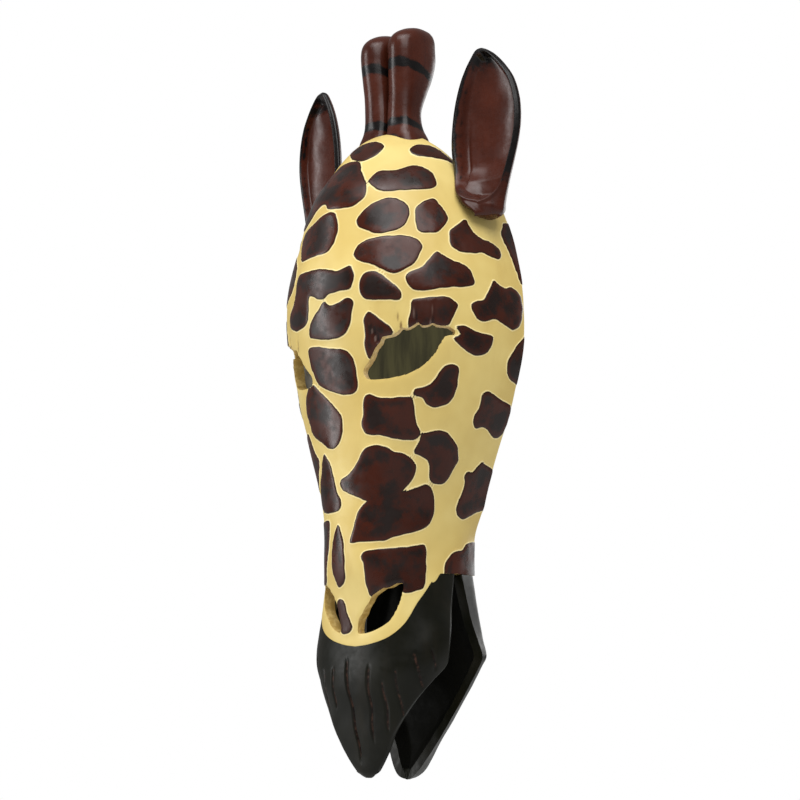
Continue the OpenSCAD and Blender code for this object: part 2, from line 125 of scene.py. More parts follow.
# Spots: angle from the front, height
SPOTS = [
    [(-10,408), (-4,413), (4,414), (10,412), (14,407), (11,400), (6,397), (0,399), (-6,403)],
    [(29,405), (33,410.5), (42,411), (50,407.5), (58,402), (59,398), (50,399.5), (40,400), (32,401)],
    [(2,398), (5,395), (8,388), (12,380), (14,372), (13,366), (9,361), (4,361), (-2,362), (-5,366),
     (-9,365), (-19,356), (-26,356), (-30,368), (-24,384), (-12,397), (-5,398.5)],
    [(13.5,380), (15.5,386.5), (20,387.5), (25,388), (31,392), (37,391.5), (41,389), (44,384), (44.5,379),
     (42,375), (36,373.5), (30,372.5), (21,371), (17,373.5), (14.5,377)],
    [(11.5,350), (12.5,355), (16,361), (20,365), (25,366.5), (29,364), (31.5,360), (32,354), (30,347),
     (26,343), (20,341.5), (16,344), (13,346)],
    [(34.3,358), (36.5,363), (40,366.5), (43,367.5), (46,363), (48.5,358), (49,354), (47,348), (44,343.5),
     (39,342.3), (36.5,343), (35,347)],
    [(58.5,355), (54,351), (50,346), (49.3,341), (50,335), (54,331.5), (60,331.5), (65.5,333), (71,331),
     (75.5,330.5), (77.5,334), (76.5,338.5), (72,341.5), (67,343), (63,346), (60.5,351)],
    [(86.5,359), (83,354), (80.8,349), (81.5,344), (84,336), (86.5,326), (89,317), (93,320), (93,355)],
    [(0.5,359.5), (2.8,355), (4,345), (2.5,336), (0,331.5), (-6,331), (-12,330), (-16,331.5), (-19,340),
     (-20,347), (-18,352), (-10,356), (-5,359)],
    [(12,329), (13.5,334.5), (18.5,338.5), (26,340), (32,339.5), (36,337), (37.5,332), (36.5,327),
     (34,320.5), (30,315.5), (26.5,314), (23,317), (19.5,320), (15,322.5), (12.5,326)],
    [(11,320.5), (12.8,315), (12.6,309), (11,305), (6,304.5), (2,303.3), (0,301.5), (-3,301.5), (-7,305),
     (-8,299), (-9,292), (-11,287.5), (-15,285.5), (-20,286), (-25,290), (-24,297), (-19,304), (-17,312),
     (-16,320), (-12,321.5), (-4,321.5), (2,320), (6,318)],
    [(14.8,305), (15,310), (16.5,314), (19.3,316), (22,314.5), (25,310.5), (28.5,305), (30,301),
     (29.5,297), (24,297), (19,297.5), (16,299.5)],
    [(31.3,312), (33,315.5), (37,318.5), (40,323.5), (43.3,330), (46,328), (50,325), (55,323),
     (57.5,320.5), (59.5,315), (59.5,310), (55,307.5), (50,306.5), (44,305), (38,303), (34,304),
     (32,308)],
    [(70.2,315), (73,313), (77,311), (80.5,312.5), (84.5,311.5), (88,307), (88.8,299), (87,289), (83,285),
     (80,284.5), (75,287), (69.5,289), (65,286.5), (61,287.5), (58.3,292.5), (57.8,297), (60,299),
     (64,301), (67,307)],
    [(0,299.7), (2,297), (5.5,297), (9,299.7), (11.5,299), (12.4,296), (11.3,290), (10.3,283),
     (8.5,278.5), (5,275.8), (-1,275.5), (-7,277.5), (-9.8,279), (-9.5,285), (-7,290), (-3,295.5)],
    [(32.7,279.5), (32.3,284), (33.3,291), (33.6,296.5), (36,298), (41,299.3), (46,300), (49.5,298.5),
     (52,295.5), (50.5,290), (48.8,284), (47.5,281.3), (44,279), (38,279)],
    [(17.8,290), (20,288), (23,284), (26,279.5), (26.8,276.5), (25.5,274), (22,270.5), (19,265), (17,261),
     (15.6,265), (15.3,270), (16,277), (15.8,285)],
    [(51,281.5), (54.5,282.5), (58,281), (62.5,279), (68,278.5), (69.5,276.5), (69,272), (67,268),
     (63.5,265.3), (60,264.8), (56,266.7), (53,269.5), (50.2,274), (52.8,277)],
    [(-11,272.8), (-5,272), (0.5,269.8), (5.5,268.7), (8.5,266), (10.3,261), (11,251), (11,246),
     (10,241.5), (5,240), (0,242), (-5,245), (-9,248), (-11.3,254), (-12.7,262), (-12.5,270)],
    [(33.7,240.3), (35,242.3), (38,243.2), (41,245.5), (43.2,250), (45.3,254.8), (47.3,257.3), (50,258.3),
     (52.3,257), (53.2,254), (52.7,246), (51.8,239), (49.5,234.8), (46,232), (42,231), (39,232.8),
     (37,236.5), (34.5,237.8)],
    [(93,281.5), (87,277.8), (83.5,271.5), (80.5,266), (79.8,261), (81,256.5), (84,253), (88,251.3),
     (94,252)],
    [(66.5,239), (67,242), (69.5,243.7), (73,243), (77,241), (80,239.8), (85,238.8), (89.5,236.5),
     (90.5,228), (89.5,220), (86,216.8), (82.5,216), (79,217), (74.5,220.3), (71,221.5), (65.5,220.5),
     (63.5,224), (63.8,227.5), (66,233)],
    [(-13.3,249.3), (-10,245.5), (-5,238.5), (-1,232.5), (1.4,227), (1.7,222), (0.7,215), (-1.5,209.5),
     (-4.5,207.3), (-8,208), (-12,212), (-18,217), (-20.5,225), (-22,234), (-20.5,242), (-17.5,247)],
    [(13.2,237.5), (15,239.3), (17,238.8), (20,236.7), (26,236.5), (32.5,236.9), (33.6,235), (34,228),
     (34.8,220.5), (36.3,215), (34.5,211), (30,210.4), (25,211.3), (19,213.3), (14,214.2), (11.8,217),
     (11.3,221), (12.2,228)],
    [(36.4,214.9), (39,215.3), (42,216.6), (46,217), (49,216), (52.5,212.5), (55.5,208), (57,203),
     (57,199), (54.8,195), (53,190.5), (50.5,186), (47,184), (43,184), (40.8,186), (40.2,190.5), (40,197),
     (37.5,200), (33.3,202.5), (33.8,206), (35.9,210.5)],
    [(15.5,207.3), (19,207), (22.5,205.3), (25,203), (27,203), (30.5,200.5), (33.3,197), (34,193.5),
     (33,188), (30.5,183.5), (28,179.5), (24,174), (15,170), (10.8,172.8), (7,175.5), (2,178.3),
     (-1,180.5), (-2.5,184), (-1.5,187.3), (3,190.3), (6.5,195), (9,200), (11.5,205)],
    [(11,172), (15,175), (24,179), (27.5,178.8), (31,179.8), (34.3,181.7), (37.5,183.3), (40,183),
     (42,180.5), (43.4,175), (43.6,169), (42.3,163), (39.5,157.8), (35.5,154.8), (31,152.8), (24,150.3),
     (18.5,147.5), (10,147), (3.3,146.7), (2.8,149), (4.3,155), (6,162.5), (8,168)],
    [(77,200.7), (80.5,199), (90,196.5), (93,190), (93,172), (88,170), (80,167.8), (73,165), (67,163.3),
     (62,165), (59.5,169), (60.5,174), (63.5,180.5), (64.2,186), (63.5,190.5), (66,193.3), (70,193.5),
     (73.5,197)],
    [(-11.3,204.5), (-8.8,200.8), (-7,196), (-5.8,188), (-4.5,180), (-2.2,173.8), (-2.3,169.5), (-5,167),
     (-9,166.4), (-14,166.8), (-19,170), (-20,176), (-19,184), (-15.5,193), (-13.5,201)],
    [(-24,219), (-19.5,206.5), (-16.5,202), (-16.7,198), (-18.5,193), (-21,187), (-25,182.5), (-33,182),
     (-40,190), (-42,202), (-36,214), (-29,219)],
    [(-4.5,159), (-2.8,155), (-1.3,149), (-0.7,141), (-0.8,133), (-1.4,125), (-3.7,121), (-7,119.3),
     (-8.5,124), (-9.8,131), (-9.3,140), (-8.4,148), (-6.5,155)],
    [(-11,161.5), (-11,154), (-12,143), (-15,131), (-18,122), (-26,122), (-36,124), (-42,135), (-40,150),
     (-30,160), (-18,162)],
    [(8.2,137.5), (10,140.7), (15,142.2), (22,143), (29,144), (35,145.6), (37.5,145.6), (38.6,143),
     (38.7,132), (38.5,124), (37,118.5), (33.5,116.3), (27.8,114.8), (26,118), (21,116), (16.5,114),
     (12.3,112.5), (10.5,116), (9.8,121), (9.6,128), (9.6,133)],
    [(50.3,127), (50.5,132), (52.5,136), (56,140), (60,142.3), (68,143.7), (71,145.5), (75,148),
     (81,149.3), (90,150), (95,150), (95,124), (50.5,124)],
    [(-6.9,112.3), (-4.6,109.5), (-3.9,104), (-2.6,99), (-1.5,95), (-2.4,92.3), (-5.3,90), (-9,90.2),
     (-11,95), (-11,106), (-9.5,111)],
    [(-27,338), (-21,331), (-19,326), (-18.8,319), (-21,312.5), (-26,309), (-34,306), (-44,309),
     (-48,320), (-44,334), (-35,340)],
    [(-36,404), (-42,409), (-50,407), (-58,401), (-57,396), (-48,395), (-38,398)],
    [(-38,384), (-46,388), (-54,384), (-56,372), (-50,364), (-40,366), (-35,374)],
    [(-30,350), (-38,357), (-48,356), (-52,348), (-46,342), (-35,344)],
    [(-60,352), (-70,354), (-80,350), (-84,342), (-76,336), (-64,337), (-57,344)],
    [(-56,328), (-66,330), (-76,329), (-80,321), (-72,315), (-62,313), (-54,319)],
    [(-48,214), (-56,216), (-62,208), (-60,196), (-52,190), (-46,198)],
    [(-28,176), (-38,178), (-48,176), (-50,168), (-40,165), (-30,167)]]
# Spots that the far side repeats, by place in SPOTS, each moved down by this much so that the sides differ
REPEATED = {15: 0, 17: 3, 13: 6, 19: 0, 20: 4, 21: 2, 27: 4, 33: 0}

# Creases that run up from the notches of the lids: angle and height of both ends
CREASES = [(29.7, 280, 27, 296), (36, 283, 34.5, 297), (41.7, 283, 42.5, 298), (21.0, 272.5, 18.0, 287)]

# Gouge cuts down the upper lip: angle and height of the top and of the bottom, depth
GOUGES = [(-5.5, 77, -2, 7, 1.3), (9.2, 72, 8.5, 20, 1.1), (16.8, 62, 19, 27, 1.0), (23.6, 70, 27, 35, 0.9),
          (32.5, 79, 38, 54, 1.1), (41.5, 81, 44, 66, 1.0), (-14.5, 70, -16.5, 40, 1.0),
          (-22.5, 70, -24, 40, 1.0), (-32, 76, -33, 50, 1.0), (-41, 80, -43, 64, 1.0)]

# The carver's unevenness on each surface, as waves: height, length, seed
WAVES = {
    "spot edges": [(0.25, 7, 5)],
    "shell": [(0.22, 30, 2), (0.05, 10, 3)],
    "shell inside": [(0.5, 14, 8)],
    "muzzle": [(0.30, 34, 21), (0.04, 9, 22)],
    "jaw": [(0.25, 28, 31), (0.04, 9, 32)],
    "jaw inside": [(0.25, 12, 33)],
    "ossicone": [(0.20, 26, 41), (0.03, 10, 42)],
    "ear front": [(0.25, 20, 51)],
    "ear back": [(0.30, 18, 52)]}
WAVE_COUNT = 6
WAVE_LENGTHS = (0.7, 1.5)
WAVE_PHASES = (0, 6.3)

# Rows and columns of each sheet or tube
SHELL_GRID = (238, 174)
MUZZLE_GRID = (150, 170)
JAW_GRID = (130, 181)
OSSICONE_GRID = (150, 96)
EAR_GRID = (170, 110)

# The shell: what is raised, rounded and creased. Roundings are depth and width
SEAM_DROP = 0.1
SPOT_RISE = 0.55
HOLE_ROUNDING = (0.4, 1.6)
SEAM_ROUNDING = (0.15, 1.2)
# Distances to an outline aren't measured further than this
FAR = 9.0
CREASE_DEPTH = 1.3

# The upper lip
TIP_STOP = 0.02
LIP_ROUNDING = (1.5, 2.8)
LIP_SOLID_TO_H = 8.0
LIP_TIP_ROWS = 12
GOUGE_DEPTH = 1.1
GOUGE_WIDTH = 0.85
GOUGE_SWAY = 0.5

# The lower jaw
JAW_TIP = np.array([0, -21, -3.0])
JAW_INNER_TIP = np.array([0, -22, 4.0])
JAW_POWER = 12
JAW_SIDE_WALL = 7
JAW_FLOOR = 4.5
JAW_FLOOR_TOP = 150.0
JAW_ARM_ANGLE = (8.0, 15.0)

# The ossicones
OSSICONE_POWER = 2.8
OSSICONE_CREST = 0.9
OSSICONE_BEHIND_Y = -48.0
CROWN_LOW_H = 340.0

# The ears
EAR_MID_X = 75.0
EAR_MID_Y = -28.0
EAR_TURN = 0.22
EAR_FLESH = 12.0
EAR_EDGE = 4.0
EAR_EDGE_ROUNDING = 2.2
EAR_HOLLOW = 10.0
EAR_CORNER = 14.0
EAR_RIM = 4.0
EAR_RIM_MORE = 1.5
EAR_ROOT = 7
# Near the ends of the ear, distance to the edge is this share of the height left
EAR_SLANT = 0.8
EAR_BOWL_H = 363
EAR_CLEAR_OF_WALL = 1.0
EAR_BEDDING = 3.0


def curve(table, t, column):
    """Smooth curve through the rows of a table, as in the part's source."""
    t = np.asarray(t, float)
    key, value = table[:, 0], table[:, column]
    before = np.maximum(np.arange(len(key)) - 1, 0)
    after = np.minimum(np.arange(len(key)) + 1, len(key) - 1)
    slope = (value[after] - value[before]) / (key[after] - key[before])
    i = np.clip(np.searchsorted(key, t, side="right") - 1, 0, len(key) - 2)
    span = key[i + 1] - key[i]
    u = np.clip((t - key[i]) / span, 0, 1)
    return ((2*u**3 - 3*u**2 + 1) * value[i] + (u**3 - 2*u**2 + u) * slope[i] * span
            + (3*u**2 - 2*u**3) * value[i + 1] + (u**3 - u**2) * slope[i + 1] * span)


def ease(u):
    """Runs smoothly from 0 to 1 while u runs from 0 to 1."""
    v = np.clip(u, 0, 1)
    return v * v * (3 - 2 * v)


def rising(value, start, run):
    return ease((value - start) / run)


def falling(value, end, run):
    return ease((end - value) / run)


def fade_out(distance, most, width):
    """Falls from most at distance 0 to nothing at this width."""
    return most * (1 - ease(distance / width))


def bell(distance, width):
    """1 on a line, and next to nothing two widths away from it."""
    return np.exp(-(distance / width)**2)


def mix(a, b, u):
    return a + (b - a) * u


def narrow(low, high, rounds, below):
    """Halves a range again and again, around the value where below stops being true."""
    for _ in range(rounds):
        middle = (low + high) / 2
        short = below(middle)
        low = np.where(short, middle, low)
        high = np.where(short, high, middle)
    return low, high


def crown_share(h):
    """0 below the crown and 1 at its top."""
    return ease((h - CROWN_START) / (CROWN_H - CROWN_START))


def reach(angle, h, inset):
    """Distance from the head's axis to its skin, sunk by inset."""
    sunk = inset * (1 - crown_share(h))
    half_width = np.maximum(curve(HEAD, h, HALF_WIDTH) - sunk, LEAST)
    depth = np.maximum(curve(HEAD, h, DEPTH) - sunk, 2 * LEAST)
    side = np.clip(curve(HEAD, h, SIDE_WALL), 0, depth - LEAST)
    power = curve(HEAD, h, POWER)
    across = np.abs(np.sin(np.radians(angle)))
    ahead = np.cos(np.radians(angle))

    def inside(r):
        wide = (r * across / half_width)**power
        deep = (np.maximum(r * ahead - side, 0) / (depth - side))**power
        return wide + deep <= 1

    low, high = narrow(np.zeros_like(across), np.full_like(across, LONGEST_REACH), 28, inside)
    return (low + high) / 2


def fall(h, y):
    """How far the crown has fallen where it runs down to the wall."""
    back = np.maximum(y + CROWN_AXIS, 0) / CROWN_AXIS
    return CROWN_FALL * rising(h, CROWN_START, CROWN_FALL_RUN) * back**CROWN_FALL_POWER


def head(angle, h, inset=0.0):
    """Points of the head at angles from the front and heights, sunk below the skin by inset."""
    angle, h = np.broadcast_arrays(angle, h)
    r = reach(angle, h, inset)
    y = np.where(np.abs(angle) > SIDE_ANGLE - SLIVER, 0, -r * np.cos(np.radians(angle)))
    below = 1 - rising(h, TUCK_TOP_H, TUCK_FADE)
    tuck = 1 - TUCK * below * np.maximum(1 + y / TUCK_DEPTH, 0)**2
    x = r * np.sin(np.radians(angle)) * tuck
    return np.stack([x, y, h - inset * crown_share(h) - fall(h, y)], -1)


# Length round the head from its front line, by height and whole degree, to space the columns evenly
ARC_STEP = 2.0
ARC_ANGLES = np.arange(0, SIDE_ANGLE + LEAST, 1.0)
ARC_HEIGHTS = np.arange(0, CROWN_H + LEAST, ARC_STEP)
BEYOND_SIDE = 0.8
arc_points = head(ARC_ANGLES[None, :], ARC_HEIGHTS[:, None])
arc_steps = np.linalg.norm(np.diff(arc_points[..., :2], axis=1), axis=2)
ARC = np.concatenate([np.zeros((len(ARC_HEIGHTS), 1)), np.cumsum(arc_steps, axis=1)], axis=1)


def arc_length(angle, h):
    """Signed distance round the head from its front line."""
    row = np.clip(np.asarray(h, float) / ARC_STEP, 0, len(ARC_HEIGHTS) - 1 - SLIVER)
    column = np.clip(np.abs(angle), 0, SIDE_ANGLE - SLIVER)
    i, j = row.astype(int), column.astype(int)
    u, v = row - i, column - j
    length = mix(mix(ARC[i, j], ARC[i, j + 1], v), mix(ARC[i + 1, j], ARC[i + 1, j + 1], v), u)
    return np.sign(angle) * (length + np.maximum(np.abs(angle) - SIDE_ANGLE, 0) * BEYOND_SIDE)


def even_angle(share, h, limit):
    """Angle at a share, from -1 to 1, of the length round the head up to the angle limit."""
    goal = np.abs(share) * arc_length(limit, h)
    most = np.full_like(goal, 1.0) * limit
    low, high = narrow(np.zeros_like(goal), most, 18, lambda angle: arc_length(angle, h) < goal)
    return np.sign(share) * (low + high) / 2


def smooth_loop(points, steps=5):
    """Closed curve that runs smoothly through the points."""
    p = np.array(points, float)
    before, after, far = np.roll(p, 1, 0), np.roll(p, -1, 0), np.roll(p, -2, 0)
    loop = []
    for u in np.arange(steps) / steps:
        loop.append(0.5 * (2*p + (after - before)*u + (2*before - 5*p + 4*after - far)*u**2
                           + (3*p - before - 3*after + far)*u**3))
    return np.stack(loop, 1).reshape(-1, 2)


def outline_distance(across, h, loop):
    """Signed distance from points on the skin to a closed outline, negative inside."""
    ring = np.stack([arc_length(loop[:, 0], loop[:, 1]), loop[:, 1]], -1)
    low, high = ring.min(0) - FAR, ring.max(0) + FAR
    near = (across > low[0]) & (across < high[0]) & (h > low[1]) & (h < high[1])
    out = np.full(across.shape, FAR)
    p = np.stack([across[near], h[near]], -1)
    best, inside = np.full(len(p), FAR), np.zeros(len(p), bool)
    for a, b in zip(ring, np.roll(ring, -1, 0)):
        run = b - a
        t = np.clip(((p - a) @ run) / max(run @ run, TINY), 0, 1)
        best = np.minimum(best, np.linalg.norm(p - a - t[:, None] * run, axis=1))
        crosses = (a[1] > p[:, 1]) != (b[1] > p[:, 1])
        rise = b[1] - a[1] if abs(b[1] - a[1]) > TINY else TINY
        inside ^= crosses & (p[:, 0] < a[0] + (p[:, 1] - a[1]) * run[0] / rise)
    out[near] = np.where(inside, -best, best)
    return out


def ripple(p, size, seed):
    """Smooth irregular waves over points, about -1 to 1, size mm long."""
    rng = np.random.default_rng(seed)
    total = np.zeros(p.shape[:-1])
    for _ in range(WAVE_COUNT):
        direction = rng.normal(size=3)
        direction /= np.linalg.norm(direction)
        length = size * rng.uniform(*WAVE_LENGTHS)
        total += np.sin(p @ direction * 2 * math.pi / length + rng.uniform(*WAVE_PHASES))
    return total * 2 / WAVE_COUNT


def waves(points, surface):
    """The carver's unevenness at points of a surface."""
    return sum(height * ripple(points, size, seed) for height, size, seed in WAVES[surface])


def grid_normals(points):
    """Unit normals of a grid of points, rows running up and columns towards the viewer's right."""
    normal = np.cross(np.gradient(points, axis=1), np.gradient(points, axis=0))
    return normal / np.maximum(np.linalg.norm(normal, axis=2, keepdims=True), TINY)


def put(points):
    """Points in mm above the tip of the lip, moved into the frame in metres."""
    return (np.asarray(points, float).reshape(-1, 3) - [0, 0, HOOK_H]) * MM


def make_piece(node, points, quads, values, material):
    """A mesh piece that replaces a CAD node. values are named numbers for each point."""
    name = f"{node}_carved"
    mesh = bpy.data.meshes.new(name)
    mesh.from_pydata(put(points).tolist(), [], [tuple(q) for q in quads.tolist()])
    for key, value in values.items():
        layer = mesh.attributes.new(key, "FLOAT", "POINT")
        layer.data.foreach_set("value", np.asarray(value, np.float32).ravel())
    mesh.validate()
    mesh.shade_smooth()
    piece = bpy.data.objects.new(name, mesh)
    bpy.context.scene.collection.objects.link(piece)
    mesh.materials.append(material)
    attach(piece, "mask")
    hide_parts(node)


def sheet_faces(rows, cols, keep):
    """Faces of a closed sheet between two grids, and the grid points that its walls start from."""
    index = np.arange(rows * cols).reshape(rows, cols)
    a, b, c, d = index[:-1, :-1], index[:-1, 1:], index[1:, 1:], index[1:, :-1]
    front = np.stack([a, b, c, d], -1)[keep]
    back = front[:, ::-1] + rows * cols
    sides = np.concatenate([front[:, [i, (i + 1) % 4]] for i in range(4)])
    codes = sides[:, 0] * rows * cols + sides[:, 1]
    opposite = sides[:, 1] * rows * cols + sides[:, 0]
    border = sides[~np.isin(codes, opposite)]
    corners = np.unique(border)
    place = np.zeros(rows * cols, np.int64)
    place[corners] = 2 * rows * cols + np.arange(len(corners))
    near = place[border]
    edge = np.stack([near[:, 1], near[:, 0], near[:, 0] + len(corners), near[:, 1] + len(corners)], -1)
    return np.concatenate([front, back, edge]), corners


def make_sheet(node, front, back, values, material, kept=None, turned=False):
    """A piece between two grids of points. values are numbers on its front, back and walls."""
    rows, cols = front.shape[:2]
    if kept is None:
        kept = np.ones((rows - 1, cols - 1), bool)
    faces, border = sheet_faces(rows, cols, kept)
    front, back = front.reshape(-1, 3), back.reshape(-1, 3)
    # The walls have points of their own, so that they shade apart
    points = np.concatenate([front, back, front[border], back[border]])
    grid = np.zeros(rows * cols)
    numbers = {}
    for key, (on_front, on_back, on_walls) in values.items():
        walls = np.full(2 * len(border), on_walls)
        numbers[key] = np.concatenate([grid + np.ravel(on_front), grid + np.ravel(on_back), walls])
    make_piece(node, points, faces[:, ::-1] if turned else faces, numbers, material)


def ring_faces(rows, cols):
    """Faces of a tube of rings, each closed round, with the ends left to close on a point."""
    index = np.arange(rows * cols).reshape(rows, cols)
    a, d = index[:-1], index[1:]
    b, c = np.roll(a, -1, 1), np.roll(d, -1, 1)
    return np.stack([a, b, c, d], -1).reshape(-1, 4)


# Materials

# Noise stretched along the grain, which runs up the mask
GRAIN = (1, 1, 0.12)


class Shader:
    """A material's node tree, with short calls for the nodes used here."""

    def __init__(self, name, **constants):
        self.material = bpy.data.materials.new(name)
        self.material.use_nodes = True
        self.tree = self.material.node_tree
        self.surface = self.tree.nodes["Principled BSDF"]
        for key, value in constants.items():
            self.surface.inputs[key.replace("_", " ")].default_value = value

    def node(self, kind, **inputs):
        """A node with its inputs set by name, or by number as i0, i1 and so on."""
        made = self.tree.nodes.new(kind)
        for key, value in inputs.items():
            self.join(value, made.inputs[int(key[1:]) if key[1:].isdigit() else key])
        return made

    def join(self, value, socket):
        if isinstance(value, bpy.types.NodeSocket):
            self.tree.links.new(value, socket)
        else:
            socket.default_value = value

    def attribute(self, name):
        made = self.node("ShaderNodeAttribute")
        made.attribute_name = name
        return made.outputs["Fac"]

    def step(self, value, low, high, to_low=0.0, to_high=1.0):
        """Runs smoothly from to_low to to_high while value runs from low to high."""
        made = self.node("ShaderNodeMapRange", i0=value, i1=low, i2=high, i3=to_low, i4=to_high)
        made.interpolation_type = "SMOOTHSTEP"
        return made.outputs[0]

    def math(self, operation, a, b):
        made = self.node("ShaderNodeMath", i0=a, i1=b)
        made.operation = operation
        return made.outputs[0]

    def blend(self, share, a, b):
        made = self.node("ShaderNodeMix")
        made.data_type = "RGBA"
        self.join(share, made.inputs[0])
        self.join(a, made.inputs[6])
        self.join(b, made.inputs[7])
        return made.outputs[2]

    def noise(self, scale, detail, stretch=(1, 1, 1)):
        place = self.node("ShaderNodeTexCoord").outputs["Object"]
        spread = self.node("ShaderNodeMapping", Vector=place, Scale=stretch).outputs[0]
        made = self.node("ShaderNodeTexNoise", Vector=spread, Scale=scale, Detail=detail, Roughness=0.6)
        return made.outputs["Fac"]

    def bump(self, height, distance, strength):
        made = self.node("ShaderNodeBump", Height=height, Distance=distance, Strength=strength)
        return made.outputs[0]

    def finish(self, color, roughness=None, normal=None):
        self.join(color, self.surface.inputs["Base Color"])
        if roughness is not None:
            self.join(roughness, self.surface.inputs["Roughness"])
        if normal is not None:
            self.join(normal, self.surface.inputs["Normal"])
        return self.material


def rgb(r, g, b):
    return (r, g, b, 1.0)


def painted_shell():
    """Satin cream with glossy red-brown spots, smoky in the middle and edged by a fine dark line, with a
    painted highlight round each spot and painted shade and highlight along the lid creases.
    """
    s = Shader("spotted_cream_paint", Specular_IOR_Level=0.26)
    spot = s.attribute("spot")
    inner = s.attribute("inner")
    grain = s.noise(60, 5, (1, 1, 0.25))
    cloud = s.noise(16, 3)
    fine = s.noise(240, 4)

    deep_cream, light_cream = rgb(0.60, 0.44, 0.135), rgb(0.70, 0.55, 0.20)
    grain_color, spot_edge_highlight, fleck_color = rgb(0.50, 0.34, 0.10), rgb(0.86, 0.72, 0.36), rgb(0.10, 0.06, 0.02)
    cream = s.blend(s.step(cloud, 0.35, 0.7), deep_cream, light_cream)
    cream = s.blend(s.step(grain, 0.55, 0.8, 0, 0.3), cream, grain_color)
    # Painted highlight: the cream just outside each spot is lightened, as if the spot's raised edge caught
    # the light
    cream = s.blend(s.step(spot, 1.0, 0.45, 0, 0.8), cream, spot_edge_highlight)
    fleck = s.step(s.noise(330, 2), 0.73, 0.78)
    cream = s.blend(s.math("MULTIPLY", fleck, s.step(cloud, 0.55, 0.65)), cream, fleck_color)

    red_brown, dull_brown = rgb(0.052, 0.0095, 0.0035), rgb(0.030, 0.0070, 0.0035)
    smoke_color, edge_line = rgb(0.009, 0.006, 0.005), rgb(0.006, 0.001, 0.001)
    smoke = s.math("MULTIPLY", s.step(s.noise(60, 5), 0.42, 0.58), s.step(spot, -1.0, -4.0))
    brown = s.blend(s.step(cloud, 0.3, 0.7), red_brown, dull_brown)
    brown = s.blend(s.math("MULTIPLY", smoke, 0.9), brown, smoke_color)
    brown = s.blend(s.step(spot, -1.1, -0.35, 0, 0.85), brown, edge_line)

    # Painted shade darkens the creases, and a painted highlight on their lit side shows on the brown only
    outside = s.blend(s.step(spot, 0.25, -0.25), cream, brown)
    lit = s.math("MULTIPLY", s.step(s.attribute("lit"), 0.2, 0.8), s.step(spot, -0.2, -0.8))
    outside = s.blend(lit, outside, rgb(0.13, 0.085, 0.07))
    fold = s.math("MULTIPLY", s.step(s.attribute("crease"), 0.3, 1.0), s.step(spot, -0.3, 0.3, 0.9, 1.0))
    crease_shade_color = s.blend(s.step(spot, -0.3, 0.3), rgb(0.004, 0.002, 0.002), rgb(0.20, 0.11, 0.035))
    outside = s.blend(s.math("MULTIPLY", fold, 0.8), outside, crease_shade_color)

    lid_color = s.blend(s.step(fine, 0.4, 0.7), rgb(0.52, 0.35, 0.10), rgb(0.76, 0.57, 0.22))
    outside = s.blend(s.attribute("lid"), outside, lid_color)
    bare_grain = s.step(s.noise(45, 5, GRAIN), 0.35, 0.7)
    bare = s.blend(bare_grain, rgb(0.075, 0.060, 0.026), rgb(0.15, 0.12, 0.06))
    color = s.blend(inner, outside, bare)

    patchy = s.step(s.noise(50, 4), 0.35, 0.65, 0.18, 0.36)
    rough = s.math("ADD", patchy, s.step(spot, -0.3, 0.3, 0.0, 0.15))
    rough = s.math("ADD", rough, s.step(fine, 0.3, 0.8, 0.0, 0.1))
    rough = s.math("ADD", rough, s.math("MULTIPLY", inner, 0.25))
    relief = s.math("ADD", s.step(spot, 0.5, -0.7), s.math("MULTIPLY", fine, 0.10))
    return s.finish(color, rough, s.bump(relief, 0.0005, 0.5))


def black_paint():
    """Semi-gloss black over dark wood, rubbed through to brown in the gouge cuts, with painted shade on the
    inside.
    """
    s = Shader("black_lip_paint")
    groove = s.attribute("groove")
    inner = s.attribute("inner")
    streak = s.noise(70, 4, (1, 1, 0.15))
    fine = s.noise(300, 4)
    black, worn_black = rgb(0.0034, 0.0036, 0.0016), rgb(0.0080, 0.0078, 0.0040)
    base = s.blend(s.step(s.noise(20, 3), 0.3, 0.7), black, worn_black)
    base = s.blend(s.step(streak, 0.5, 0.8, 0, 0.6), base, rgb(0.0125, 0.0095, 0.0045))
    rubbed = s.blend(s.step(fine, 0.4, 0.65), rgb(0.006, 0.003, 0.002), rgb(0.055, 0.026, 0.017))
    color = s.blend(s.step(groove, 0.25, 0.9), base, rubbed)
    # Painted shade: the inside of the lip and jaw is darker and less glossy than the outside, for the shade
    # in the hollow and the mouth
    color = s.blend(inner, color, rgb(0.0018, 0.0018, 0.0011))
    s.join(s.step(inner, 0, 1, 0.16, 0.05), s.surface.inputs["Specular IOR Level"])
    rough = s.math("ADD", s.step(fine, 0.2, 0.8, 0.30, 0.46), s.math("MULTIPLY", inner, 0.25))
    relief = s.math("ADD", s.math("MULTIPLY", streak, 0.2), s.math("MULTIPLY", fine, 0.2))
    return s.finish(color, rough, s.bump(relief, 0.0002, 0.3))


def mahogany():
    """Glossy red-brown lacquer, smoked black where the attribute says."""
    s = Shader("mahogany_stain", Specular_IOR_Level=0.26)
    smoke = s.attribute("smoke")
    grain = s.noise(90, 5, GRAIN)
    fine = s.noise(260, 4)
    ragged = s.math("ADD", smoke, s.math("MULTIPLY", s.math("SUBTRACT", s.noise(150, 5), 0.5), 1.3))
    dull_red, bright_red = rgb(0.036, 0.0075, 0.0035), rgb(0.062, 0.0135, 0.0065)
    red = s.blend(s.step(s.noise(25, 3), 0.3, 0.7), dull_red, bright_red)
    red = s.blend(s.step(grain, 0.5, 0.75, 0, 0.5), red, rgb(0.018, 0.0045, 0.003))
    color = s.blend(s.step(ragged, 0.35, 0.7), red, rgb(0.004, 0.003, 0.003))
    rough = s.step(fine, 0.25, 0.8, 0.22, 0.36)
    return s.finish(color, rough, s.bump(s.math("ADD", grain, fine), 0.0002, 0.3))


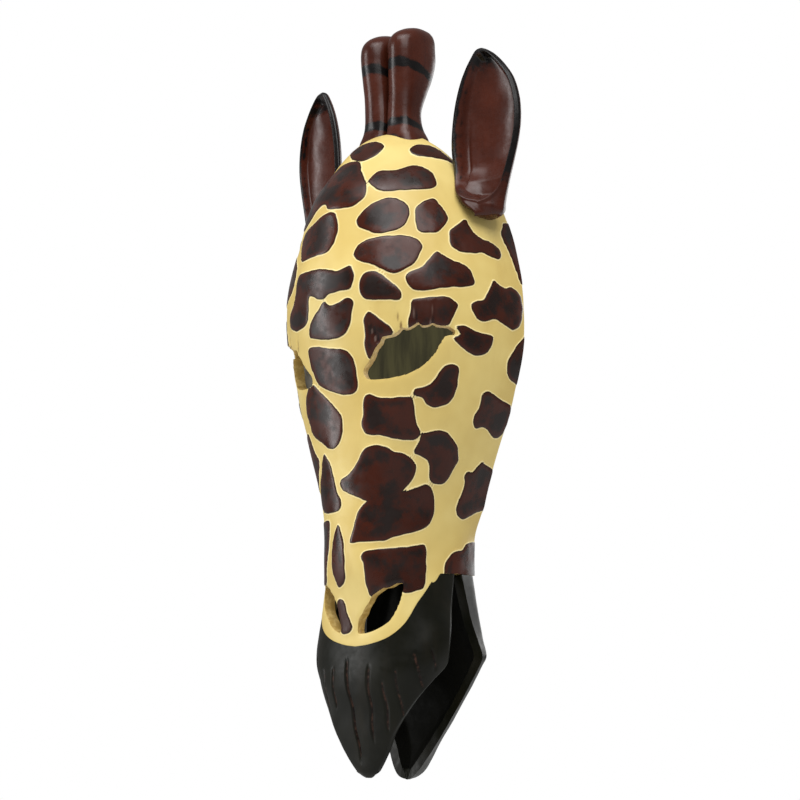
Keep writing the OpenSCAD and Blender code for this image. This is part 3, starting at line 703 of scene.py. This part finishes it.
def wood(name, dark, light, stretch, roughness):
    """Unfinished wood whose grain runs where the stretch is smallest."""
    s = Shader(name, Specular_IOR_Level=0.35)
    rings = s.noise(55, 5, stretch)
    pores = s.noise(420, 3, stretch)
    color = s.blend(s.step(rings, 0.3, 0.7), dark, light)
    color = s.blend(s.step(pores, 0.62, 0.72, 0, 0.6), color, dark)
    rough = s.step(rings, 0.2, 0.8, roughness, roughness + 0.12)
    return s.finish(color, rough, s.bump(pores, 0.0003, 0.4))


def metal(name, color, worn, roughness):
    """Plain metal with stains and fine scratches."""
    s = Shader(name, Metallic=1.0)
    stain = s.noise(160, 5)
    scratch = s.noise(600, 3, (1, 1, 0.08))
    shade = s.blend(s.step(stain, 0.45, 0.75), color, worn)
    rough = s.step(stain, 0.3, 0.7, roughness, roughness + 0.18)
    return s.finish(shade, rough, s.bump(scratch, 0.00008, 0.3))


# Pieces

def mirrored(points, down):
    return [(-angle, h - down) for angle, h in points]


def cream_h(angle):
    """Height of the line where cream meets black."""
    return curve(CREAM_EDGE, np.abs(angle), 1)


def slide_to_holes(across, h, gap, border):
    """Angles and heights of the grid, with the points round an opening moved onto its outline."""
    slope_across = np.gradient(gap, axis=1) / np.maximum(np.gradient(across, axis=1), 0.05)
    slope_h = np.gradient(gap, axis=0) / np.maximum(np.gradient(h, axis=0), 0.05)
    steep = np.maximum(np.hypot(slope_across, slope_h), 0.3)
    at_hole = np.zeros(gap.size, bool)
    at_hole[border] = np.abs(gap.ravel()[border]) < 3
    at_hole = at_hole.reshape(gap.shape)
    new_across = across + np.where(at_hole, -gap * slope_across / steep**2, 0)
    new_h = h + np.where(at_hole, -gap * slope_h / steep**2, 0)
    share = np.clip(new_across / arc_length(SIDE_ANGLE, new_h), -1, 1)
    return even_angle(share, new_h, SIDE_ANGLE), new_h


def build_shell(material):
    rows, cols = SHELL_GRID
    rise = np.linspace(0, 1, rows)[:, None]
    rise = mix(rise, np.sin(rise * math.pi / 2), 0.7)
    share = np.linspace(-1, 1, cols)[None, :] + 0 * rise
    # The angles depend on the lower edge and the lower edge on them, so both settle together
    angle = SIDE_ANGLE * share
    for _ in range(4):
        h = mix(cream_h(angle) - SEAM_DROP, CROWN_H, rise)
        angle = even_angle(share, h, SIDE_ANGLE)
    across = arc_length(angle, h)

    spots = SPOTS + [mirrored(SPOTS[i], down) for i, down in REPEATED.items()]
    spot = np.minimum.reduce([outline_distance(across, h, smooth_loop(points)) for points in spots])
    spot = spot + waves(np.stack([across, h, 0 * h], -1), "spot edges")
    holes = [smooth_loop(points, 4) for points in (EYE, mirrored(EYE, 0), RIGHT_NOSTRIL, LEFT_NOSTRIL)]
    gap = np.minimum.reduce([outline_distance(across, h, hole) for hole in holes])
    middle_gap = (gap[:-1, :-1] + gap[1:, :-1] + gap[1:, 1:] + gap[:-1, 1:]) / 4
    _, border = sheet_faces(rows, cols, middle_gap > 0)
    angle, h = slide_to_holes(across, h, gap, border)

    skin = head(angle, h)
    normal = grid_normals(skin)
    raised = SPOT_RISE * falling(spot, end=0.5, run=1.2) * rising(gap, start=0, run=1.5)
    softened = -fade_out(gap, *HOLE_ROUNDING) - fade_out(h - cream_h(angle), *SEAM_ROUNDING)
    crease, lit = lid_creases(across, h)
    top = falling(h, end=CROWN_H, run=8)
    outer = skin + normal * ((raised + waves(skin, "shell") + softened - crease) * top)[..., None]
    inner = head(angle, h, WALL)
    inner = inner + normal * (waves(inner, "shell inside") * top)[..., None]
    for surface in (outer, inner):
        surface[..., 1] = np.minimum(surface[..., 1], 0)
        surface[:, [0, -1], 1] = 0

    values = {"spot": (spot, FAR, FAR), "lid": (0, 0, 1), "crease": (crease, 0, 0), "lit": (lit, 0, 0),
              "inner": (0, 1, 0)}
    make_sheet("face_shell", outer, inner, values, material, middle_gap > 0)


def line_distance(across, h, a0, h0, a1, h1):
    """Distance to a line on the skin, share of the way along it, and distance to its right."""
    start = np.array([arc_length(a0, h0), h0], float)
    run = np.array([arc_length(a1, h1), h1], float) - start
    p = np.stack([across, h], -1) - start
    t = np.clip((p @ run) / (run @ run), 0, 1)
    right = (p[..., 0] * run[1] - p[..., 1] * run[0]) / np.hypot(*run)
    return np.linalg.norm(p - t[..., None] * run, axis=-1), t, right


def lid_creases(across, h):
    """Depth of the creases above the eyes, and how much one side of each catches the light."""
    depth, lit = np.zeros_like(h), np.zeros_like(h)
    for a0, h0, a1, h1 in CREASES:
        for side in (1, -1):
            distance, along, right = line_distance(across, h, side * a0, h0, side * a1, h1)
            fade = (1 - along)**0.7
            depth += CREASE_DEPTH * bell(distance, width=1.0) * fade
            lit += bell(right + 1.5, width=0.75) * fade * (distance < 4)
    return depth, lit


def build_muzzle(material):
    rows, cols = MUZZLE_GRID
    share = np.linspace(-1, 1, cols)[None, :]
    top = np.full((1, cols), MOUTH_CORNER_H)
    for _ in range(8):
        top = cream_h(share * curve(LIP_EDGE, top, 1))
    down = np.sin(np.linspace(0, 1, rows) * math.pi / 2)[:, None]
    h = mix(top - SEAM_DROP, TIP_STOP, down)
    limit = curve(LIP_EDGE, h, 1)
    angle = even_angle(share + 0 * h, h, limit)
    skin = head(angle, h)
    normal = -grid_normals(skin)
    across = arc_length(angle, h)

    swayed = across + GOUGE_SWAY * np.sin(h / 4.0)
    groove = np.zeros_like(h)
    for a0, h0, a1, h1, depth in GOUGES:
        distance, along, _ = line_distance(swayed, h, a0, h0, a1, h1)
        ends = rising(along, start=0, run=0.12) * falling(along, end=1, run=0.2)
        groove = np.maximum(groove, depth * ends * bell(distance, GOUGE_WIDTH))
    rim = fade_out(arc_length(limit, h) - np.abs(across), *LIP_ROUNDING)
    outer = skin + normal * (waves(skin, "muzzle") - GOUGE_DEPTH * groove - rim)[..., None]

    # Near the tip the lip is almost solid, and its last rows close on one point
    sunk = head(angle, np.maximum(h, LIP_SOLID_TO_H), WALL * 0.85)
    inner = mix(skin - normal * WALL * 0.9, sunk, rising(h, start=30, run=40)[..., None])
    inner_tip = np.array([0, LIP_TIP_Y + 4, LIP_SOLID_TO_H])
    closing = np.linspace(0, 1, LIP_TIP_ROWS)[:, None, None]
    inner[-LIP_TIP_ROWS:] = mix(inner[-LIP_TIP_ROWS:], inner_tip, closing)
    tip = falling(h, end=4, run=4)[..., None]
    outer = mix(outer, mix(outer, np.array([0, LIP_TIP_Y, 0.0]), 0.5 * tip), tip)

    values = {"groove": (groove, 0, 0), "inner": (0, 1, 0)}
    make_sheet("upper_muzzle", outer, inner, values, material, turned=True)


def scoop(sweep, h, side, floor):
    """Points of the jaw's contour, with its walls sunk by side and its back by floor."""
    across = np.abs(np.sin(np.radians(sweep)))**(2 / JAW_POWER)
    back = np.cos(np.radians(sweep)).clip(0)**(2 / JAW_POWER)
    rim_width = np.maximum(curve(JAW, h, RIM_WIDTH) - side, 0.3)
    back_width = np.maximum(curve(JAW, h, BACK_WIDTH) - side, 0.2)
    rim_y = curve(JAW, h, RIM_Y)
    back_y = np.maximum(curve(JAW, h, BACK_Y) - floor, rim_y + 1)
    if floor:
        back_y = mix(rim_y + 3, back_y, rising(h, start=6, run=40))
    x = np.sign(sweep) * across * mix(rim_width, back_width, back)
    return np.stack([x, mix(rim_y, back_y, back), h], -1)


def build_jaw(material):
    rows, cols = JAW_GRID
    # More columns where the contour turns its two corners
    even = np.linspace(-1, 1, cols)
    sweep = (SIDE_ANGLE * np.sign(even) * (0.5 - 0.5 * np.cos(math.pi * np.abs(even)))).reshape(1, -1)
    sweep = mix(sweep, SIDE_ANGLE * even, 0.35)
    start, end = JAW_ARM_ANGLE
    top = mix(JAW_FLOOR_TOP, MOUTH_CORNER_H - 0.2, rising(np.abs(sweep), start, end - start))
    down = np.sin(np.linspace(0, 1, rows) * math.pi / 2)[:, None]
    h = mix(top, JAW_TIP[2] + TIP_STOP, down)
    outer = scoop(sweep + 0 * h, h, 0, 0)
    inner_h = mix(top, JAW_INNER_TIP[2] + TIP_STOP, down)
    inner = scoop(sweep + 0 * h, inner_h, JAW_SIDE_WALL, JAW_FLOOR)

    outer = outer + grid_normals(outer) * (waves(outer, "jaw") * rising(h, JAW_TIP[2], 8))[..., None]
    outer[..., 1] = np.minimum(outer[..., 1], 0)
    outer[-1] = JAW_TIP
    uneven = waves(inner, "jaw inside") * rising(inner_h, JAW_INNER_TIP[2], 8)
    inner = inner + grid_normals(inner) * uneven[..., None]
    inner[-1] = JAW_INNER_TIP
    values = {"groove": (0, 0, 0), "inner": (0, 0.85, 0)}
    make_sheet("lower_jaw", outer, inner, values, material)


def crown_z(x, y):
    """Height of the crown's skin above a point of the plan."""
    angle = np.degrees(np.arctan2(x, np.maximum(-y, LEAST)))
    low, _ = narrow(np.full(x.shape, CROWN_LOW_H), np.full(x.shape, CROWN_H), 24,
                    lambda h: np.hypot(x, y) < reach(angle, h, 0.0))
    return low - fall(low, y)


def side_name(side):
    return "right" if side > 0 else "left"


def band(p, h, slant, width):
    """Smoke of a band round an ossicone, lower and narrower towards the back."""
    behind = p[..., 1] - OSSICONE_BEHIND_Y
    return bell(p[..., 2] - (h - slant * behind), width - 0.05 * behind)


def build_ossicone(side, material):
    rows, cols = OSSICONE_GRID
    turn = np.linspace(0, 2 * math.pi, cols, endpoint=False)[None, :]
    t = np.linspace(0, 1, rows)[:, None]
    h = mix(OSSICONE[0, 0], OSSICONE[-1, 0], mix(t, np.sin(t * math.pi / 2), 0.5))
    power = 2 / OSSICONE_POWER
    wide = np.sign(np.cos(turn)) * np.abs(np.cos(turn))**power
    deep = np.sign(np.sin(turn)) * np.abs(np.sin(turn))**power
    # A soft crest runs up the front of each ossicone
    crest = OSSICONE_CREST * bell(turn - 1.5 * math.pi, width=0.30) * rising(h, start=428, run=12)
    x = curve(OSSICONE, h, MIDDLE_X) + curve(OSSICONE, h, WIDE) * wide
    y = curve(OSSICONE, h, MIDDLE_Y) + curve(OSSICONE, h, DEEP) * deep - crest
    p = np.stack([x + 0 * h, y, h + 0 * turn], -1)
    shake = waves(p, "ossicone")
    p[..., 0] += shake * np.cos(turn)
    p[..., 1] += shake * np.sin(turn)
    p[..., 0] = np.maximum(p[..., 0], 0.2)
    p[..., 2] = np.maximum(p[..., 2], crown_z(p[..., 0], p[..., 1]) - 1.5)
    p[-1] = p[-1].mean(0)
    p[0] = mix(p[0], p[0].mean(0), 0.5)

    foot = fade_out(p[..., 2] - crown_z(p[..., 0], p[..., 1]), most=0.45, width=4)
    bands = np.maximum(band(p, 471, slant=0.24, width=4.2), band(p, 431, slant=0.2, width=3.8))
    p[..., 0] *= side
    faces = ring_faces(rows, cols)
    make_piece(f"{side_name(side)}_ossicone", p, faces if side > 0 else faces[:, ::-1],
               {"smoke": np.maximum(bands, foot)}, material)


def ear_relief(h, v, from_edge, from_rim):
    """How far an ear's front lies behind its middle plane. v runs from -1 at the head to 1 outside."""
    dome = 1 - v**2
    rim = EAR_RIM + EAR_RIM_MORE * (v < 0)
    bowl = np.maximum(curve(EAR, h, BOWL), 0.6 * rising(h, start=365, run=8))
    hollow = EAR_HOLLOW * bowl * dome**0.6 * rising(from_rim, 0.6 * rim, 0.8 * rim)
    crease = -0.8 * bell(from_rim - 0.55 * rim, width=0.9) * rising(h, EAR_BOWL_H, 4)
    fold_ends = falling(h, end=430, run=25) * rising(h, start=376, run=8)
    fold = 0.9 * bell(from_rim - 8.5, width=1.0) * (v < -0.1) * fold_ends
    # The root swells forward where the ear grows out of the head
    root = EAR_ROOT * falling(h, end=394, run=24) * bell(v + 0.6, width=0.42)
    flesh = ear_flesh(h, dome)
    return hollow - ear_edge(from_edge) - 0.5 * flesh - root + crease + fold


def ear_edge(from_edge):
    """Half the thickness of the flesh at a distance from the rounded edge."""
    round_share = 1 - np.clip(from_edge / EAR_EDGE_ROUNDING, 0, 1)
    return EAR_EDGE / 2 * np.sqrt(np.clip(1 - round_share**2, 0, 1))


def ear_flesh(h, dome):
    return EAR_FLESH * curve(EAR, h, FLESH) * dome * mix(0.35, 1, rising(h, start=356, run=9))


def ear_smoke(h, v, from_edge, from_rim):
    """Black rim, fine line round the bowl and smoked tip of an ear's front."""
    rim = EAR_RIM + EAR_RIM_MORE * (v < 0)
    black_rim = fade_out(from_edge - EAR_EDGE_ROUNDING, 1, EAR_EDGE_ROUNDING + 2.0 * (v < 0))
    edge = 0.9 * black_rim * rising(h, start=372, run=16)
    smoke = np.maximum(edge, 0.5 * bell(from_rim - rim, width=0.9))
    return np.maximum(smoke, 0.7 * rising(h, start=448, run=18))


def clear_of_head(points):
    """Points of an ear pushed out until they are bedded only EAR_BEDDING deep in the head."""
    points = points.reshape(-1, 3)
    angle = np.degrees(np.arctan2(points[:, 0], np.maximum(-points[:, 1], LEAST)))
    level = points[:, 2] + fall(points[:, 2] + 2, points[:, 1])
    skin = reach(angle, np.minimum(level, CROWN_H - 0.1), EAR_BEDDING)
    r = np.hypot(points[:, 0], points[:, 1])
    push = np.where(points[:, 2] < 426, np.maximum(skin / np.maximum(r, 1), 1), 1)
    return points * np.stack([push, push, np.ones_like(push)], -1)


def build_ear(side, material):
    rows, cols = EAR_GRID
    t = np.linspace(0, 1, rows)[:, None]
    rise = mix(t, 0.5 - 0.5 * np.cos(t * math.pi), 0.6)
    h = mix(EAR[0, 0], EAR[-1, 0], rise) + np.zeros((1, cols))
    v = np.sin(np.linspace(-1, 1, cols) * math.pi / 2)[None, :] + 0 * t
    inside, outside = curve(EAR, h, INNER_EDGE), curve(EAR, h, OUTER_EDGE)
    x = mix(inside, outside, (v + 1) / 2)
    from_edge = (1 - np.abs(v)) * (outside - inside) / 2
    from_edge = np.minimum(from_edge, EAR_SLANT * (EAR[-1, 0] - h))
    # The bowl starts behind a rounded rim and a fine crease, which close in a U above the foot
    from_foot = EAR_SLANT * (h - EAR_BOWL_H)
    corner = np.hypot(np.maximum(EAR_CORNER - from_edge, 0), np.maximum(EAR_CORNER - from_foot, 0))
    beyond = np.maximum(np.minimum(from_edge, from_foot) - EAR_CORNER, 0)
    from_rim = np.maximum(EAR_CORNER - corner + beyond, 0)

    dome = 1 - v**2
    middle_y = EAR_MID_Y + (x - EAR_MID_X) * EAR_TURN
    front = np.stack([x, middle_y + ear_relief(h, v, from_edge, from_rim), h], -1)
    back_y = middle_y + EAR_HOLLOW * curve(EAR, h, BOWL) * dome + ear_edge(from_edge) + ear_flesh(h, dome)
    back = np.stack([x, back_y, h], -1)
    front[..., 1] += waves(front, "ear front") * dome
    back[..., 1] += waves(back, "ear back") * dome
    back[..., 1] = np.minimum(back[..., 1], -EAR_CLEAR_OF_WALL)
    front = clear_of_head(front).reshape(rows, cols, 3) * [side, 1, 1]
    back = clear_of_head(back).reshape(rows, cols, 3) * [side, 1, 1]
    smoke = (ear_smoke(h, v, from_edge, from_rim), 0.3, 0.3)
    make_sheet(f"{side_name(side)}_ear", front, back, {"smoke": smoke}, material,
               turned=side < 0)


build_shell(painted_shell())
lip_paint = black_paint()
stain = mahogany()
build_muzzle(lip_paint)
build_jaw(lip_paint)
for side in (1, -1):
    build_ossicone(side, stain)
    build_ear(side, stain)

peg_wood = wood("dowel_wood", rgb(0.42, 0.27, 0.13), rgb(0.62, 0.44, 0.25), (1, 1, 0.1), 0.5)
bar_wood = wood("batten_wood", rgb(0.30, 0.17, 0.07), rgb(0.52, 0.35, 0.18), (0.1, 1, 1), 0.6)
brass = metal("screw_brass", rgb(0.72, 0.52, 0.20), rgb(0.30, 0.19, 0.07), 0.25)
zinc = metal("hanger_steel", rgb(0.58, 0.58, 0.56), rgb(0.33, 0.32, 0.30), 0.30)
CARRIED_OVER = {"muzzle_dowels": peg_wood, "jaw_dowels": peg_wood, "ossicone_dowels": peg_wood,
                "ear_dowels": peg_wood, "batten_blocks": bar_wood, "hanger_batten": bar_wood,
                "batten_screws": brass, "strap_screws": brass, "hanger_strap": zinc, "hanger_ring": zinc}
for name, material in CARRIED_OVER.items():
    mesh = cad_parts[name].data
    mesh.materials.clear()
    mesh.materials.append(material)


# Floor, light and camera, in metres and degrees

CAMERA_AT = (0.7381, -0.9076, -0.3049)
CAMERA_AIM = (-0.0138, -0.0116, -0.128)
CAMERA_LENS = 78.5
CAMERA_SENSOR = 36
FLOOR_SIZE = 12
FLOOR_Z = -1.6
FLOOR_GLOW = 0.45
CARD_DISTANCE = 2.5
CARD_SIZE = (0.36, 0.26, 1)
LIGHT_AIM = (0, -0.04, -0.12)
# Name, azimuth, elevation, distance, width, height, watts
LIGHTS = [("key", 50, 46, 1.6, 1.2, 1.2, 22), ("strip", -44, 6, 1.4, 0.3, 1.3, 11),
          ("front", 15, 62, 1.8, 1.2, 0.8, 12), ("back", 180, 10, 1.8, 1.0, 1.0, 8)]
SOFT_LIGHT = 0.28


def add_floor():
    bpy.ops.mesh.primitive_plane_add(size=FLOOR_SIZE, location=(0, 0, FLOOR_Z))
    floor = bpy.context.object
    s = Shader("floor", Roughness=0.8)
    s.surface.inputs["Emission Color"].default_value = rgb(1, 1, 1)
    s.surface.inputs["Emission Strength"].default_value = FLOOR_GLOW
    color = s.blend(s.noise(3, 4), rgb(0.78, 0.78, 0.77), rgb(0.82, 0.82, 0.81))
    floor.data.materials.append(s.finish(color))


def add_shade_card():
    """A dim card on the camera's line through the eye, in place of the shaded wall behind the mask."""
    eye = Vector(put(head(32.0, 265.0))[0])
    way = (eye - Vector(CAMERA_AT)).normalized()
    bpy.ops.mesh.primitive_plane_add(size=1, location=eye + way * CARD_DISTANCE)
    card = bpy.context.object
    card.rotation_euler = way.to_track_quat("Z", "Y").to_euler()
    card.scale = CARD_SIZE
    s = Shader("shade_card", Roughness=0.9)
    streaks = s.step(s.noise(16, 3, (1, 0.1, 1)), 0.3, 0.7)
    color = s.blend(streaks, rgb(0.026, 0.022, 0.006), rgb(0.066, 0.058, 0.019))
    card.data.materials.append(s.finish(color))


def add_light(name, azimuth, elevation, distance, width, height, watts):
    """A softbox that faces the mask. Azimuth runs from the front towards the viewer's right."""
    data = bpy.data.lights.new(name, "AREA")
    data.shape = "RECTANGLE"
    data.size, data.size_y = width, height
    data.energy = watts
    light = bpy.data.objects.new(name, data)
    a, e = math.radians(azimuth), math.radians(elevation)
    way = Vector((math.sin(a) * math.cos(e), -math.cos(a) * math.cos(e), math.sin(e)))
    light.location = Vector(LIGHT_AIM) + way * distance
    light.rotation_euler = (-way).to_track_quat("-Z", "Y").to_euler()
    bpy.context.scene.collection.objects.link(light)


def add_world():
    """White behind the mask, and a soft light on it from all sides."""
    world = bpy.data.worlds.new("studio")
    bpy.context.scene.world = world
    world.use_nodes = True
    tree = world.node_tree
    soft = tree.nodes["Background"]
    white = tree.nodes.new("ShaderNodeBackground")
    for source, strength in ((soft, SOFT_LIGHT), (white, 1.0)):
        source.inputs[0].default_value = rgb(1, 1, 1)
        source.inputs[1].default_value = strength
    seen = tree.nodes.new("ShaderNodeLightPath")
    choose = tree.nodes.new("ShaderNodeMixShader")
    tree.links.new(seen.outputs["Is Camera Ray"], choose.inputs[0])
    tree.links.new(soft.outputs[0], choose.inputs[1])
    tree.links.new(white.outputs[0], choose.inputs[2])
    tree.links.new(choose.outputs[0], tree.nodes["World Output"].inputs[0])


def add_camera():
    data = bpy.data.cameras.new("camera")
    data.lens = CAMERA_LENS
    data.sensor_width = CAMERA_SENSOR
    camera = bpy.data.objects.new("camera", data)
    camera.location = CAMERA_AT
    camera.rotation_euler = (Vector(CAMERA_AIM) - camera.location).to_track_quat("-Z", "Y").to_euler()
    bpy.context.scene.collection.objects.link(camera)
    bpy.context.scene.camera = camera


add_floor()
add_shade_card()
add_world()
for light in LIGHTS:
    add_light(*light)
add_camera()
bpy.context.scene.view_settings.view_transform = "Standard"
